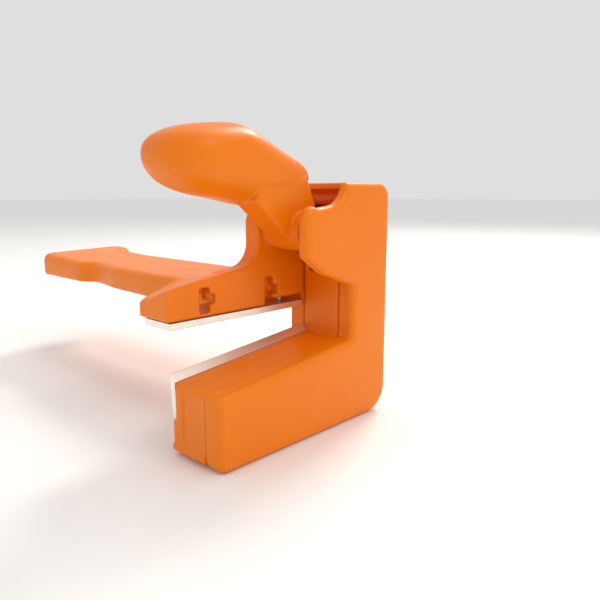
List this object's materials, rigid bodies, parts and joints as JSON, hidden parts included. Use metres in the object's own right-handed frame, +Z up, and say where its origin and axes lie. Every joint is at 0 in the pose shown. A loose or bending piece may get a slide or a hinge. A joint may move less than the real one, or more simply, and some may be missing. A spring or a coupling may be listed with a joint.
{
  "type": "edge band end trimmer",
  "caption": "Hand-held lever guillotine that lies on a panel's edge and shears the overhanging edge band flush between two steel blades.",
  "frame": {"origin": "on the seat plane under the fixed blade, at the shear plane and at the panel's front face", "axes": "+X out of the panel's end towards the overhanging band, +Y along the blades into the mouth, +Z up from the seat"},
  "size_m": [0.1798, 0.0786, 0.0959],
  "materials": {
    "casing_plastic": "satin",
    "lever_plastic": "satin",
    "blade_steel": "ground bright",
    "fixing_steel": "zinc plated",
    "spring_steel": "drawn wire",
    "guide_plastic": "natural",
    "bush_bronze": "sintered",
    "bumper_rubber": "matte"
  },
  "bodies": {
    "base": {"base_frame": "casing_plastic", "fixed_blade": "blade_steel", "fixed_blade_screws": "fixing_steel", "pivot_pin": "fixing_steel", "pivot_spacer": "casing_plastic", "pivot_clip": "spring_steel", "stop_bumper": "bumper_rubber"},
    "jaw": {"inner_shell": "casing_plastic", "outer_cover": "casing_plastic", "case_screws": "fixing_steel", "moving_blade": "blade_steel", "moving_blade_screws": "fixing_steel", "moving_blade_nuts": "fixing_steel", "blade_backing_bar": "fixing_steel", "guide_strip": "guide_plastic", "spring_rod": "fixing_steel", "return_spring": "spring_steel", "spring_cup": "guide_plastic"},
    "lever": {"handle_lever": "lever_plastic", "lever_bush": "bush_bronze", "drive_pin": "fixing_steel", "drive_pin_clips": "spring_steel"}
  },
  "joints": [
    {"name": "jaw_slide", "type": "slide", "parent": "base", "child": "jaw", "axis": [0, 0, 1], "range_m": [0, 0.0128], "stiffness_N_per_m": 600, "springref_m": -0.012, "deforming": ["return_spring"]},
    {"name": "lever_pivot", "type": "hinge", "parent": "base", "child": "lever", "pos_m": [0, 0.011, 0.027], "axis": [1, 0, 0], "range_deg": [0, 32]}
  ],
  "couplings": [
    {"joint": "lever_pivot", "follows": "jaw_slide", "rad_per_m": 43.478}
  ]
}
